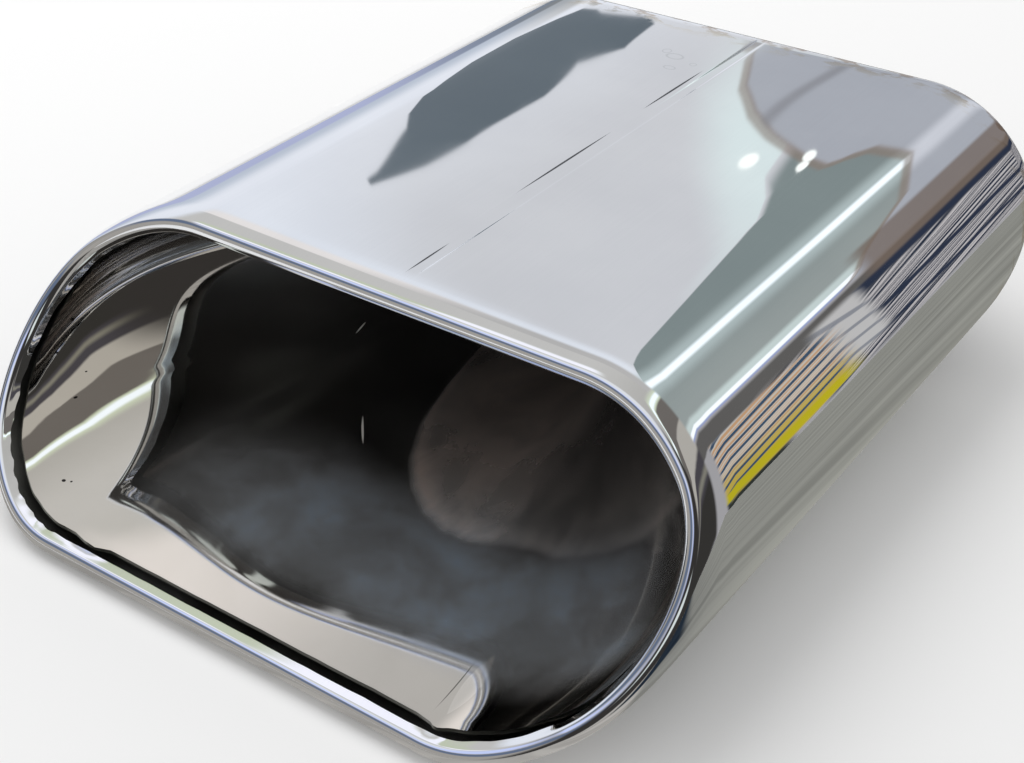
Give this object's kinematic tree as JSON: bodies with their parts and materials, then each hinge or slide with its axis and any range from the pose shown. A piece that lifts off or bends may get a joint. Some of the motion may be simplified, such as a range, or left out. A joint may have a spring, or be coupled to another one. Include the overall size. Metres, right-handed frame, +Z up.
{
  "type": "exhaust tailpipe tip",
  "caption": "Flat oval tailpipe tip of polished sheet steel, cut on a slant, with a curled mouth, an inner wall that narrows to the inlet pipe, and a round pipe at the rear.",
  "frame": {"origin": "centre of the inlet pipe's open end", "axes": "+Y along the inlet pipe, from the mouth towards the car's pipe; +X across the width; +Z up, from the flat underside to the side with the weld seam"},
  "size_m": [0.17, 0.2213, 0.0564],
  "materials": {
    "polished_sheet": "polished",
    "inner_sheet": "polished",
    "plate_steel": "satin",
    "pipe_steel": "satin",
    "weld_metal": "rough"
  },
  "bodies": {
    "root": {"outer_shell": "polished_sheet", "inner_liner": "inner_sheet", "rear_plate": "plate_steel", "inlet_pipe": "pipe_steel", "inlet_weld": "weld_metal"}
  },
  "joints": []
}
